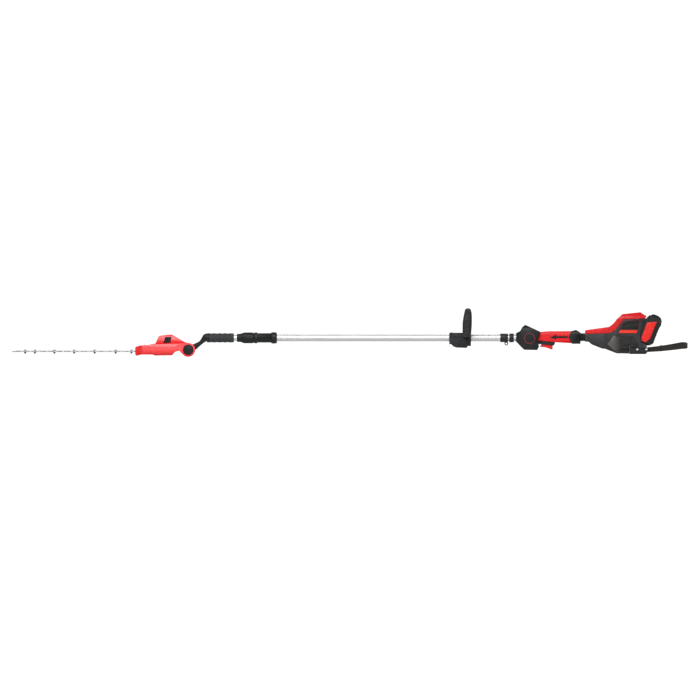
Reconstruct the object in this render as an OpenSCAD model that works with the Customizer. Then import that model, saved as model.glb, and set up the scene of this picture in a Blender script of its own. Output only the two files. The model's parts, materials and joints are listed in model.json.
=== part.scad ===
// Cordless pole hedge trimmer: a toothed cutter head that tilts on the end of a telescopic pole,
// a loop handle, a rear grip with its trigger, and a battery housing with a hand strap.
// X runs along the pole to the rear, Z is up, and the origin lies on the pole's axis.

/* [Pole] */
// Outer diameter of the outer tube
tube_d = 28; // [24:0.5:34]
// Wall of both tubes
tube_wall = 1.5; // [1:0.1:2.5]
// Bare tube ahead of the origin, up to the twist lock
tube_ahead = 344; // [250:1:500]
// Bare tube behind the origin, up to the control housing
tube_behind = 612; // [560:1:760]
// Length of the inner tube that stays in the outer tube and behind the arm
inner_len = 690; // [640:1:720]
// Radial running clearance between sliding or turning round parts
fit = 0.05; // [0.03:0.01:0.09]
// Clearance between parts that move past each other
gap = 0.3; // [0.25:0.05:0.4]

/* [Twist lock] */
// Length of the fixed base behind the twist collar
base_len = 77; // [60:1:100]
// Length of the twist collar
collar_len = 83; // [75:1:100]
// Thickness of the twist collar over the tube at its widest
collar_over = 8; // [7:0.5:11]
// Number of grip ribs round the twist collar
collar_ribs = 14; // [8:1:20]

/* [Arm and hub] */
// Thickness of the soft sleeve over the arm
sleeve_t = 4; // [3:0.5:6]
// Bare inner tube between the sleeve and the twist collar
bare_len = 12; // [8:1:40]
// Distance from the sleeve's rear end forward to the hub
hub_ahead = 183; // [170:1:220]
// Height of the pole's axis over the hub
hub_drop = 48; // [44:1:52]
// Radius of the ears round the hub
ear_r = 28; // [26:0.5:30]
// Half thickness of the arm's tongue between the ears
tongue_half = 15; // [12:0.5:17]
// Thickness of each ear
ear_t = 18; // [15:0.5:22]
// Radius of the hub pin
pin_r = 6; // [5:0.5:8]
// Radius of the release button
button_r = 20.7; // [16:0.1:22]
// How far the release button pushes in
button_travel = 3; // [2:0.5:4]

/* [Cutter head] */
// Half width of the head at the gears
head_half = 42; // [41.5:0.5:50]
// Height of the blades' middle under the hub
blade_drop = 6; // [5:0.5:7]
// Distance from the hub forward to the crank
crank_at = 136; // [134:1:138]
// Radius of the crank gear
gear_r = 35; // [32:0.5:35]
// Radius of the motor pinion
pinion_r = 8.6; // [7:0.1:10]
// Radius of the motor
motor_r = 20; // [16:0.5:20.5]
// Throw of each eccentric
throw = 8; // [6:0.5:8.5]
// Radius of each eccentric
eccentric_r = 15; // [13:0.5:16]

/* [Blades] */
// Distance from the hub forward to the blades' tip
blade_reach = 704; // [520:1:850]
// Thickness of one blade
blade_t = 1.8; // [1.4:0.1:2.2]
// Thickness of the guide bar
bar_t = 2; // [1.5:0.1:2.5]
// Half width of a blade's spine
spine_half = 12; // [10:0.5:14]
// Half width over the teeth
tooth_reach = 32; // [24:0.5:38]
// Distance from tooth to tooth
tooth_pitch = 33; // [28:0.5:40]
// Radius of a blade bolt
bolt_r = 2.5; // [2:0.1:3]

/* [Loop handle] */
// Position of the loop handle's clamp on the tube
handle_at = 345; // [200:1:400]
// Length of the loop handle's clamp
clamp_len = 87; // [70:1:110]
// Half width inside the loop
loop_half = 43; // [38:1:60]
// Height of the loop over the pole's axis
loop_top = 119; // [100:1:150]
// Half thickness of the loop's grip
loop_r = 13; // [10:0.5:14]

/* [Harness clamp] */
// Position of the harness collar on the tube
harness_at = 549; // [500:1:549]
// Radius of the harness eyelet's hole
eyelet_r = 3.6; // [2.5:0.1:4]
// Thickness of the harness eyelet
eyelet_t = 5; // [3:0.5:8]

/* [Control housing and grip] */
// Half width of the control housing
control_half = 32; // [28:0.5:38]
// Half width of the rear grip
grip_half = 19; // [17:0.5:24]
// Half width of the trigger
trigger_half = 9; // [7:0.5:11]
// Radius of the trigger's pivot pin
trigger_pin_r = 2; // [1.5:0.1:2.5]

/* [Rear housing and battery] */
// Half width of the rear housing
housing_half = 38; // [36:0.5:46]
// Half width of the battery
battery_half = 37; // [36:0.5:44]
// Lean of the battery from upright
dock_lean = 21.5; // [20:0.5:23]
// Radius of a battery cell
cell_r = 9.4; // [8:0.1:9.5]
// Length of the hand strap behind the foot
strap_len = 161; // [110:1:220]
// Width of the strap's webbing
strap_w = 20; // [15:0.5:24]
// Thickness of the strap's webbing
strap_t = 2.5; // [1.5:0.1:4]

/* [Hidden] */
$fn = 64;

big = 1000;
tube_r = tube_d / 2;
inner_r = tube_r - tube_wall - fit;

// Twist lock, from rear to front
base_rear = -tube_ahead;
base_front = base_rear - base_len;
collar_rear = base_front - gap;
collar_front = collar_rear - collar_len;
tube_front = base_front - 34;
collet_len = 22;
collet_front = tube_front - collet_len;
collet_r = tube_r + 2;

// Arm and hub
core_r = inner_r + 2.55;
sleeve_r = core_r + sleeve_t;
sleeve_rear = collar_front - bare_len;
hub_x = sleeve_rear - hub_ahead;
hub_z = -hub_drop;
inner_front = hub_x + 62;
slot_r = 60;
ear_half = tongue_half + gap + ear_t;

// Heights in the head, measured from the hub
lower_z = -blade_drop - 3.1;
upper_z = lower_z + blade_t + gap;
bar_z = upper_z + blade_t + gap;
bar_top = bar_z + bar_t;
tray_z = -16;
tray_t = 3.5;
gear_z = 3;
gear_t = 7;
lid_z = gear_z + gear_t + 1;
lid_t = 2.5;
motor_z = lid_z + lid_t;
motor_len = 38;
mesh_gap = 0.4;
motor_at = crank_at - gear_r - pinion_r - mesh_gap;
post_r = 4;
bay_half = gear_r + 3;
bay_front = crank_at + gear_r + 9;
bay_rear = 62;
nose_at = 212;
bulge_half = 32;
bolt_places = [for (back = [52, 91, 169, 248, 330, 414, 477]) blade_reach - back];
bolt_play = throw;

// Loop handle
clamp_half = tube_r + 8;
clamp_top = tube_r + 6.5;
leg_y = loop_half + loop_r;
bend_r = 40;

// Control housing, grip and rear housing
control_x = tube_behind;
mouth = tube_r + 5;
rear_x = control_x + 276;
panel_t = 0.8;
dock_x = rear_x + 220;
dock_z = 20;
foot_top = -40;
foot_bottom = -65;
strap_slot = 248;
strap_x = rear_x + strap_slot + 2.6;
strap_z = -47;
strap_y = 20;
strap_rise = 5.8;

// Mirrors an outline of half widths into a closed outline
function both(half) = concat([for (p = half) [p[0], -p[1]]], reversed(half));

// Lists an outline backwards
function reversed(points) = [for (i = [len(points) - 1:-1:0]) points[i]];

// Outline in X and Z, drawn out across the part
module side_plate(points, half) {
    rotate([90, 0, 0]) linear_extrude(2 * half, center = true) polygon(points);
}

// Outline in X and Y, drawn out upwards
module plan_block(half_points) {
    translate([0, 0, -big / 2]) linear_extrude(big) polygon(both(half_points));
}

// Outline in Y and Z, drawn out along X
module front_block(half_points) {
    rotate([90, 0, 90]) translate([0, 0, -big]) linear_extrude(2 * big)
        polygon(concat([for (p = half_points) p], [for (p = reversed(half_points)) [-p[0], p[1]]]));
}

// A bar along X, from x0 to x1
module bar_x(x0, x1, r) {
    translate([x0, 0, 0]) rotate([0, 90, 0]) cylinder(r = r, h = x1 - x0);
}

// A bar along Y, from y0 to y1
module bar_y(y0, y1, r) {
    translate([0, y0, 0]) rotate([-90, 0, 0]) cylinder(r = r, h = y1 - y0);
}

// A box from one corner to the other
module block(low, high) {
    translate(low) cube([high[0] - low[0], high[1] - low[1], high[2] - low[2]]);
}

// Keeps the side towards -Y or +Y
module half_of(side) {
    intersection() {
        children();
        translate([-2 * big, side < 0 ? -big : 0, -big]) cube([4 * big, big, 2 * big]);
    }
}

// A turned piece on the pole's axis, from points of X and radius
module turned(points) {
    rotate([0, 90, 0]) rotate_extrude() polygon([for (p = points) [p[1], p[0]]]);
}

// Places head geometry, whose X runs forward from the hub
module at_head() {
    translate([hub_x, 0, hub_z]) mirror([1, 0, 0]) children();
}

module at_control() {
    translate([control_x, 0, 0]) children();
}

module at_rear() {
    translate([rear_x, 0, 0]) children();
}

// Places battery geometry, whose Z runs up the battery's slide
module at_dock() {
    translate([dock_x, 0, dock_z]) rotate([0, dock_lean, 0]) children();
}

// ---- Pole and twist lock ----

module outer_tube() {
    color("gainsboro") difference() {
        bar_x(tube_front, control_x + 38, tube_r);
        bar_x(tube_front - 1, control_x + 39, tube_r - tube_wall);
    }
}

module inner_tube() {
    color("silver") difference() {
        bar_x(inner_front, inner_front + inner_len, inner_r);
        bar_x(inner_front - 1, inner_front + inner_len + 1, inner_r - tube_wall);
    }
}

module twist_base() {
    step = base_rear - 24;
    color("#26292b") difference() {
        turned([[base_front, 0], [base_front, tube_r + 4], [base_front + 2, tube_r + 5],
            [step, tube_r + 5], [step + 2, tube_r + 8], [step + 5, tube_r + 9],
            [base_rear - 6, tube_r + 9], [base_rear - 2, tube_r + 7.5], [base_rear, tube_r + 4],
            [base_rear, 0]]);
        bar_x(base_front - 1, base_rear + 1, tube_r);
    }
}

module collet() {
    color("#303336") difference() {
        bar_x(collet_front, tube_front, collet_r);
        bar_x(collet_front - 1, tube_front + 1, inner_r + fit);
        translate([collet_front - 1, -1, 0]) cube([collet_len - 5, 2, collet_r + 1]);
    }
}

module twist_collar() {
    wide = tube_r + collar_over;
    rib_from = collar_front + 29;
    rib_to = collar_rear - 19;
    color("#2b2f31") difference() {
        turned([[collar_front, 0], [collar_front, tube_r + 1], [collar_front + 2, tube_r + 2.5],
            [collar_front + 13, tube_r + 2.5], [rib_from, wide], [rib_to, wide],
            [rib_to + 2, wide - 2.5], [rib_to + 4, wide - 2.5], [rib_to + 6, wide],
            [collar_rear - 1.5, wide], [collar_rear, wide - 1.5], [collar_rear, 0]]);
        bar_x(collar_front - 1, collar_rear, inner_r + gap);
        bar_x(collet_front - gap, collar_rear, collet_r + gap);
        for (i = [0:collar_ribs - 1])
            rotate([i * 360 / collar_ribs, 0, 0]) translate([rib_from + 3, -1.5, wide - 1.2])
                cube([rib_to - rib_from - 6, 3, 3]);
    }
}

// The lead inside the tubes: straight at both ends, coiled between
module power_lead() {
    lead_r = 3.5;
    coil_r = inner_r - tube_wall - gap;
    color("#1a1a1a") union() {
        bar_x(inner_front + 4, control_x + 60, lead_r);
        bar_x(-250, 0, coil_r);
    }
}

// ---- Arm ----

// The arm's body beside the hub, measured from the hub
arm_outline = [[31.5, 11], [63.5, 66.5], [80, 67], [80, 29], [64, 29], [41, 11], [31, 3.5]];
tongue_outline = [[0, 19], [22, 37], [36, 40], [47.5, 38], [60, 55], [64, 29], [41, 11], [14, -13]];

module arm() {
    color("#303437") difference() {
        union() {
            translate([hub_x, 0, hub_z]) {
                side_plate(tongue_outline, tongue_half);
                bar_y(-tongue_half, tongue_half, 19);
                side_plate(arm_outline, tongue_half + 2);
            }
            bar_x(inner_front + 10, sleeve_rear, core_r);
        }
        bar_x(inner_front, sleeve_rear + 1, inner_r);
        translate([hub_x, 0, hub_z]) bar_y(-big, big, pin_r + fit);
    }
}

// Ribbed soft sleeve on the arm
module arm_sleeve() {
    front = hub_x + 64;
    rib = (sleeve_rear - front) / 9;
    color("#3a3f42") difference() {
        turned(concat([[front + 10, 0], [front + 10, sleeve_r - 1]],
            [for (i = [1:8]) each [[front + rib * i + 6, sleeve_r], [front + rib * (i + 0.5) + 6,
                sleeve_r - 0.9]]],
            [[sleeve_rear - 2, sleeve_r], [sleeve_rear, sleeve_r - 2], [sleeve_rear, 0]]));
        bar_x(front, sleeve_rear + 1, core_r);
        translate([hub_x, 0, hub_z]) side_plate(arm_outline, tongue_half + 2);
    }
}

// ---- Cutter head ----

head_outline = [[0, ear_r], [11, 30], [66, 62], [117, 56], [131, 26], [151, 23], [154, 20], [171, 19.5],
    [174, 22], [177, 19], [192, 17.5], [195, 18], [198, 15], [206, 14], [nose_at, 10], [nose_at, -20],
    [206, -24], [188, -19], [142, -19], [134, -23], [66, -22], [52, -8], [36, -4], [20, -ear_r * 0.7]];
head_plan = [[-ear_r - 1, ear_half], [24, ear_half], [52, head_half], [184, head_half], [200, 31],
    [nose_at, 26]];
head_front = [[bulge_half - 5, 62], [bulge_half, 54], [bulge_half, 27], [head_half - 3, 23],
    [head_half, 12], [head_half, -9],
    [head_half - 5, -24], [head_half - 5, -24 - ear_r]];

module head_body() {
    difference() {
        union() {
            intersection() {
                side_plate(head_outline, big / 2);
                plan_block(head_plan);
                front_block(head_front);
            }
            bar_y(-ear_half, ear_half, ear_r);
        }
        // Slot for the arm's tongue
        bar_y(-tongue_half - gap, tongue_half + gap, slot_r);
        bar_y(-big / 2, big / 2, pin_r);
        // Recess of the release button
        bar_y(-big / 2, -ear_half + button_travel + 5, button_r + gap);
        // Gear bay, motor bay and the blades' way out
        block([bay_rear, -bay_half, tray_z], [bay_front, bay_half, motor_z]);
        translate([motor_at, 0, 0]) cylinder(r = motor_r + fit, h = motor_z + motor_len);
        block([bay_front - 1, -spine_half - 1, lower_z - 0.5], [nose_at + 1, spine_half + 1, bar_top]);
    }
}

module head_near() {
    color("#ee2b2f") at_head() half_of(-1) head_body();
}

module head_far() {
    color("#ee2b2f") at_head() half_of(1) head_body();
}

// Black plates on the motor bulge
module head_labels() {
    color("#15181a") at_head() for (side = [-1, 1])
        translate([0, side * (bulge_half + panel_t / 2), 0])
            side_plate([[92, 51], [67, 53], [70, 28.5], [100, 27.5]], panel_t / 2);
}

// Pin through both ears, with the cap on the far side
module hub_pin() {
    color("#1b1d1f") at_head() union() {
        bar_y(-ear_half + button_travel + 5.4, ear_half + 2, pin_r);
        bar_y(ear_half, ear_half + 2, button_r);
    }
}

module release_button() {
    face = -ear_half - 2;
    color("#191b1d") at_head() union() {
        bar_y(face, -ear_half + 4.7, button_r);
        bar_y(face - 1.2, face, button_r - 4);
    }
}

module gear_tray() {
    color("#9a9da0") at_head() union() {
        block([bay_rear, -bay_half, tray_z], [bay_front, bay_half, tray_z + tray_t]);
        translate([crank_at, 0, tray_z]) cylinder(r = post_r, h = lid_z - tray_z);
        translate([crank_at, 0, tray_z]) cylinder(r = 7, h = lower_z - gap - tray_z);
    }
}

module gear_lid() {
    color("#a7aaad") at_head() difference() {
        block([bay_rear, -bay_half, lid_z], [bay_front, bay_half, lid_z + lid_t]);
        translate([motor_at, 0, lid_z - 1]) cylinder(r = 5, h = lid_t + 2);
    }
}

module motor() {
    color("#6d7174") at_head() translate([motor_at, 0, motor_z]) difference() {
        cylinder(r = motor_r, h = motor_len);
        translate([0, 0, -1]) cylinder(r = 3 + fit, h = 19);
        for (i = [0:11])
            rotate([0, 0, i * 30]) translate([motor_r - 1.5, -2, 6]) cube([3, 4, motor_len - 12]);
    }
}

module motor_pinion() {
    color("#b9bcbe") at_head() translate([motor_at, 0, 0]) union() {
        translate([0, 0, gear_z]) cylinder(r = pinion_r, h = gear_t);
        translate([0, 0, gear_z]) cylinder(r = 3, h = motor_z + 16 - gear_z);
    }
}

// Gear with one eccentric for each blade
module crank_gear() {
    split = upper_z - gap / 2;
    color("#b9bcbe") at_head() translate([crank_at, 0, 0]) difference() {
        union() {
            translate([0, 0, gear_z]) cylinder(r = gear_r, h = gear_t);
            translate([0, 0, bar_z]) cylinder(r = throw + eccentric_r + 1, h = gear_z - bar_z);
            translate([0, throw, split]) cylinder(r = eccentric_r, h = bar_z - split);
            translate([0, -throw, lower_z]) cylinder(r = eccentric_r, h = split - lower_z);
        }
        translate([0, 0, lower_z - 1]) cylinder(r = post_r + fit, h = big);
    }
}

// ---- Blades ----

// One toothed blade; start shifts its teeth along the spine
module blade_shape(start) {
    eye = eccentric_r + 0.45;
    last = floor((blade_reach - 24 - start) / tooth_pitch);
    root = spine_half - 1;
    difference() {
        union() {
            translate([crank_at, 0]) square([2 * eye + 14, 2 * (throw + eye) + 10], center = true);
            polygon(both([[crank_at, spine_half], [blade_reach - 14, spine_half], [blade_reach, 4]]));
            for (i = [0:last]) {
                at = start + i * tooth_pitch;
                tooth = [[at - 2, -root], [at + 7, -tooth_reach], [at + 13, -tooth_reach], [at + 17,
                    -root]];
                polygon(tooth);
                polygon(reversed([for (p = tooth) [p[0], -p[1]]]));
            }
        }
        translate([crank_at, 0]) square([2 * eye, 2 * throw], center = true);
        for (side = [-1, 1])
            translate([crank_at, side * throw]) circle(r = eye);
        for (at = bolt_places) {
            translate([at, 0]) square([2 * bolt_play, 2 * (bolt_r + gap)], center = true);
            for (side = [-1, 1])
                translate([at + side * bolt_play, 0]) circle(r = bolt_r + gap);
        }
    }
}

module upper_blade() {
    color("#c9ccd0") at_head() translate([0, 0, upper_z]) linear_extrude(blade_t) blade_shape(nose_at + 20);
}

module lower_blade() {
    color("#bfc3c7") at_head() translate([0, 0, lower_z]) linear_extrude(blade_t)
        blade_shape(nose_at + 20 + tooth_pitch / 2);
}

module guide_bar() {
    color("#aeb2b6") at_head() translate([0, 0, bar_z]) linear_extrude(bar_t) difference() {
        polygon(both([[bay_front - 4, spine_half - 3], [blade_reach - 26, spine_half - 3],
            [blade_reach - 14, 4]]));
        for (at = bolt_places)
            translate([at, 0]) circle(r = bolt_r);
    }
}

// Shoulder bolts under the blades, with tapered heads
module blade_bolts() {
    head_top = lower_z - gap;
    color("#7a1d26") at_head() for (at = bolt_places)
        translate([at, 0, 0]) rotate_extrude()
            polygon([[0, head_top - 6], [1.6, head_top - 6], [3.6, head_top - 4], [4.6, head_top - 1.5],
                [4.6, head_top], [bolt_r, head_top], [bolt_r, bar_top + 4.5], [0, bar_top + 4.5]]);
}

module blade_nuts() {
    color("#b4b7ba") at_head() for (at = bolt_places)
        translate([at, 0, bar_top]) difference() {
            union() {
                cylinder(r = 5, h = 1);
                translate([0, 0, 1]) cylinder(r = 4.4, h = 3, $fn = 6);
            }
            translate([0, 0, -1]) cylinder(r = bolt_r, h = 6);
        }
}

// ---- Loop handle ----

// Side of the loop in X, from the clamp's rear face, and Z: narrow on top and wide at its foot
loop_side = [[-33, 12], [-33, 26], [-34, loop_top - 65], [-31, loop_top - 38], [-26, loop_top - 14],
    [-20, loop_top - 3], [-12, loop_top], [-4, loop_top - 3], [2, loop_top - 14], [4, loop_top - 38],
    [3, loop_top - 65], [-1, 26], [-1, 12]];

// Half of an arch across the pole, with a corner of radius r under its top
function arch(half, top, r) = concat([[half, 0]],
    [for (i = [0:12]) [half - r + r * cos(i * 7.5), top - r + r * sin(i * 7.5)]]);

module loop_arch() {
    intersection() {
        translate([handle_at + clamp_len, 0, 0]) side_plate(loop_side, leg_y + loop_r);
        difference() {
            front_block(arch(leg_y + loop_r, loop_top, bend_r + loop_r));
            front_block(arch(leg_y - loop_r, loop_top - 2 * loop_r, bend_r - loop_r));
        }
    }
}

module handle_loop() {
    color("#1d1f21") difference() {
        union() {
            block([handle_at, -clamp_half, gap], [handle_at + clamp_len, clamp_half, clamp_top]);
            block([handle_at + clamp_len - 34, -leg_y - loop_r + 3, 4],
                [handle_at + clamp_len, leg_y + loop_r - 3, clamp_top]);
            loop_arch();
        }
        bar_x(handle_at - 1, handle_at + clamp_len + 1, tube_r + fit);
        bolt_holes();
    }
}

clamp_bolt_r = 2.5;
module bolt_holes() {
    for (x = [handle_at + 10, handle_at + clamp_len - 10], y = [-1, 1])
        translate([x, y * (clamp_half - 4), -big / 2]) cylinder(r = clamp_bolt_r, h = big);
}

module handle_clamp() {
    color("#1d1f21") difference() {
        union() {
            block([handle_at, -clamp_half, -tube_r - 12], [handle_at + clamp_len, clamp_half, -gap]);
            block([handle_at + 14, -clamp_half, -tube_r - 19], [handle_at + clamp_len, clamp_half, -gap]);
            // Clamp lever, folded against the underside
            translate([handle_at, 0, -tube_r])
                side_plate([[9, -12], [17, -21], [28, -25], [70, -26.5], [74, -19], [74, -12]],
                    clamp_half - 5);
        }
        bar_x(handle_at - 1, handle_at + clamp_len + 1, tube_r + fit);
        bolt_holes();
    }
}

module handle_bolts() {
    color("#9da0a3") for (x = [handle_at + 10, handle_at + clamp_len - 10], y = [-1, 1])
        translate([x, y * (clamp_half - 4), 0]) union() {
            translate([0, 0, -tube_r - (x < handle_at + 14 ? 12 : 19)])
                cylinder(r = clamp_bolt_r, h = clamp_top + tube_r + (x < handle_at + 14 ? 12 : 19));
            translate([0, 0, clamp_top]) cylinder(r = 4, h = 2.5);
        }
}

// ---- Harness clamp ----

// A clamp ring with a screw lug on its far side
module clamp_ring(from, to, r) {
    difference() {
        union() {
            bar_x(from, to, r);
            block([from, 0, -6], [to, r + 9, 6]);
        }
        bar_x(from - 1, to + 1, tube_r);
        block([from - 1, tube_r - 1, -1], [to + 1, r + 10, 1]);
        translate([(from + to) / 2, r + 4, -big / 2]) cylinder(r = 2, h = big);
    }
}

ring_at = harness_at + 36;
module harness_collar() {
    r = tube_r + 3.5;
    color("#1d1f21") difference() {
        union() {
            clamp_ring(harness_at, harness_at + 31, r);
            translate([harness_at + 24.5, 0, -r - 5.5]) bar_y(-eyelet_t / 2, eyelet_t / 2, eyelet_r + 4);
            block([harness_at + 17, -eyelet_t / 2, -r - 5], [harness_at + 31, eyelet_t / 2, -tube_r - 1]);
        }
        translate([harness_at + 24.5, 0, -r - 5.5]) bar_y(-eyelet_t, eyelet_t, eyelet_r);
    }
}

module harness_ring() {
    color("#1d1f21") clamp_ring(ring_at, ring_at + 18, tube_r + 4);
}

module harness_screws() {
    color("#9da0a3") {
        for (at = [[harness_at + 15.5, tube_r + 7.5], [ring_at + 9, tube_r + 8]])
            translate([at[0], at[1], -6]) union() {
                cylinder(r = 2, h = 12);
                translate([0, 0, 12]) cylinder(r = 3.6, h = 2);
            }
    }
}

// ---- Control housing and grip ----

control_outline = [[0, mouth], [16, mouth + 8], [24, 42], [37, 53], [98, 24], [88, -9], [92, -35],
    [85, -49], [32, -48], [0, -tube_r - 1]];
control_plan = [[0, tube_r + 6], [20, control_half - 2], [30, control_half], [88, control_half],
    [98, control_half - 4]];
control_front = [[14, 53], [28, 40], [control_half, 25], [control_half, -34], [control_half - 7, -49]];
lock_place = [60, 0, 16];

module control_body() {
    difference() {
        intersection() {
            side_plate(control_outline, control_half);
            plan_block(control_plan);
            front_block(control_front);
        }
        bar_x(-1, 38, tube_r);
        bar_x(37, 120, 8);
        block([42, -24, -40], [82, 24, 24]);
        translate(lock_place) bar_y(control_half - 9, big, 7 + gap);
    }
}

module control_near() {
    color("#17191b") at_control() half_of(-1) control_body();
}

module control_far() {
    color("#17191b") at_control() half_of(1) control_body();
}

// Plain rings where the round badges sit
module badge_rings() {
    color("#d8232a") at_control() for (side = [-1, 1])
        translate([54, side * (control_half + panel_t / 2), -2]) difference() {
            bar_y(-panel_t / 2, panel_t / 2, side < 0 ? 22 : 8);
            bar_y(-panel_t, panel_t, side < 0 ? 19.5 : 6);
        }
}

module lock_off() {
    color("#d8232a") at_control() translate(lock_place) bar_y(control_half - 5, control_half + 3, 7);
}

surround_outline = [[88, -9], [157, -17.625], [152, -31], [128, -27], [90.46, -25]];
trigger_outline = [[95, -36], [103, -22], [126, -22], [147, -28], [146, -48], [117, -38]];
trigger_pivot = [100.5, 0, -28];
surround_half = 15;

module trigger_surround() {
    slot = trigger_half + gap + 0.2;
    color("#17191b") at_control() difference() {
        side_plate(surround_outline, surround_half);
        side_plate([[93, -13.5], [150, -20.5], [160, -60], [93, -60]], slot);
        translate(trigger_pivot) bar_y(-big, big, trigger_pin_r);
    }
}

module trigger() {
    color("#e0252b") at_control() difference() {
        side_plate(trigger_outline, trigger_half);
        translate(trigger_pivot) bar_y(-big, big, trigger_pin_r + fit);
    }
}

module trigger_pin() {
    color("#9da0a3") at_control() translate(trigger_pivot) bar_y(-surround_half, surround_half,
        trigger_pin_r);
}

grip_outline = [[98, 24], [130, 26.5], [220, 27], [210, 1], [222.6, -21.5], [160, -18], [88, -9]];
collar_outline = [[220, 27], [240, 32], [258, 21], [258, -24], [224, -24], [222.6, -21.5], [210, 1]];
grip_front = [[grip_half - 8, 33], [grip_half - 2, 22], [grip_half, 14], [grip_half, -12],
    [grip_half - 3, -20], [grip_half - 8, -30]];

module grip_body() {
    difference() {
        intersection() {
            side_plate(grip_outline, grip_half);
            front_block(grip_front);
        }
        block([104, -grip_half + 5, -6], [200, grip_half - 5, 18]);
    }
}

module grip_near() {
    color("#e4262c") at_control() half_of(-1) grip_body();
}

module grip_far() {
    color("#e4262c") at_control() half_of(1) grip_body();
}

// Black arrow and bar let into each side of the grip
module grip_inlays() {
    color("#17191b") at_control() for (side = [-1, 1])
        translate([0, side * (grip_half + panel_t / 2), 0])
            side_plate([[135, 1], [162, 13], [160, 7], [208, 7], [206, -1], [160, -1], [160, -6]],
                panel_t / 2);
}

module switch() {
    color("#4a4d50") at_control() block([110, -grip_half + 6, -6], [146, grip_half - 6, 10]);
}

module rear_collar() {
    color("#17191b") at_control() intersection() {
        side_plate(collar_outline, grip_half + 2);
        front_block([[grip_half - 5, 33], [grip_half + 1, 22], [grip_half + 2, 14], [grip_half + 2, -14],
            [grip_half - 3, -26]]);
    }
}

// Ribbed neck between the grip and the rear housing
module neck_bellows() {
    color("#202325") at_control() translate([0, 0, 3]) turned([[258, 0], [258, 15], [261, 17], [264, 14.5],
        [267, 17], [270, 14.5], [273, 17], [276, 15], [276, 0]]);
}

// ---- Rear housing ----

parting_line = [[0, 15], [87, 18], [108, 23], [122, 32], [141, 55], [155, 73], [250, 78]];
cover_top = [[0, 31], [96, 44], [111, 55], [128, 76], [149, 95], [222, 103], [239, 91], [256, 85]];
casing_bottom = [[248, -28], [248, foot_top], [178, foot_top], [177.7, -63], [126, -62], [80, -44],
    [68, -43], [28, -27], [14, -16], [0, -15]];
rear_plan = [[0, 17], [72, 22], [112, housing_half - 2], [130, housing_half], [big, housing_half]];
rear_front = [[24, 103], [housing_half - 2, 86], [housing_half, 76], [housing_half, -42],
    [housing_half - 6, -63]];

// Space of the battery and of its way out
module dock_cut() {
    at_dock() side_plate([[-gap, 200], [-gap, -0.6], [16.6, -33.4], [48, -34.4], [61.5, -27], [90, -15],
        [90, 200]], big / 2);
}

module housing_body() {
    difference() {
        at_rear() intersection() {
            side_plate(concat(parting_line, casing_bottom), housing_half);
            plan_block(rear_plan);
            front_block(rear_front);
        }
        dock_cut();
        at_rear() block([120, -housing_half + 5, -34], [192, housing_half - 5, 26]);
        at_rear() bar_x(-1, 121, 6);
        // Shallow bed of each vent grille
        at_rear() for (side = [-1, 1])
            translate([0, side * (housing_half - vent_bed / 2), 0])
                side_plate([[128, 7], [186, 7], [182, -30], [174, -39], [132, -39]], vent_bed / 2);
        at_dock() block([-8, -13, 2], [1, 13, 46]);
    }
}

vent_bed = 2;
module housing_near() {
    color("#24272a") half_of(-1) housing_body();
}

module housing_far() {
    color("#24272a") half_of(1) housing_body();
}

module top_cover() {
    color("#e0252b") difference() {
        at_rear() intersection() {
            side_plate(concat(parting_line, reversed(cover_top)), housing_half);
            plan_block(rear_plan);
            front_block(rear_front);
        }
        dock_cut();
        at_rear() side_plate([[150, 78], [158, 90], [216, 96], [228, 88], [228, 81]], housing_half - 12);
    }
}

// Parallelogram panels and the bright stripes under them
module on_both_sides(points, half, t) {
    for (side = [-1, 1])
        translate([0, side * (half + t / 2), 0]) side_plate(points, t / 2);
}

module side_panels() {
    color("#1c1e20") at_rear() on_both_sides([[144, 55], [156, 71], [226, 74.5], [211, 31], [140, 31]],
        housing_half, panel_t);
}

module side_stripes() {
    color("#f0452c") at_rear() on_both_sides([[140, 30.7], [210.9, 30.7], [206.5, 19], [135, 19]],
        housing_half, panel_t);
}

module vent_grilles() {
    color("#17191b") at_rear() difference() {
        on_both_sides([[134, 3], [182, 3], [179, -27], [173, -34], [138, -34]],
            housing_half - vent_bed, vent_bed);
        for (i = [0:4])
            block([141, -big, -1 - i * 6], [176, big, 1 - i * 6]);
    }
}

// Circuit board with its heat sink
module controller() {
    color("#2f6b3c") at_rear() union() {
        block([120, -1, -30], [192, 1, 24]);
        for (i = [0:5])
            block([130 + i * 9, 1, -20], [134 + i * 9, 14, 14]);
        block([130, -9, -22], [150, -1, -4]);
        block([158, -12, -20], [180, -1, 10]);
    }
}

module terminal_block() {
    color("#8a6f2a") at_dock() union() {
        block([-8, -13, 2], [-gap, 13, 46]);
        block([-gap, -11, 4], [5.5, 11, 44]);
    }
}

module foot() {
    color("#17191b") at_rear() difference() {
        side_plate([[178, foot_top], [254, foot_top], [254, -49], [250, -57], [243, foot_bottom],
            [178, foot_bottom]], housing_half - 3);
        foot_bolt_holes();
        for (side = [-1, 1])
            translate([0, side * (strap_y + strap_t / 2), 0])
                block([strap_slot, -strap_t / 2 - gap, strap_z - strap_w / 2 - 1.5],
                    [big, strap_t / 2 + gap, 0]);
    }
}

module foot_bolt_holes() {
    for (x = [209, 246])
        translate([x, 0, -46]) bar_y(-big, big, 2.5);
}

module foot_bolts() {
    side = housing_half - 3;
    color("#c4c7ca") at_rear() for (x = [209, 246])
        translate([x, 0, -46]) union() {
            bar_y(-side, side, 2.5);
            bar_y(-side - 2.5, -side, 4.4);
            bar_y(side, side + 2.5, 4.4);
        }
}

// ---- Battery ----

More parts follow.
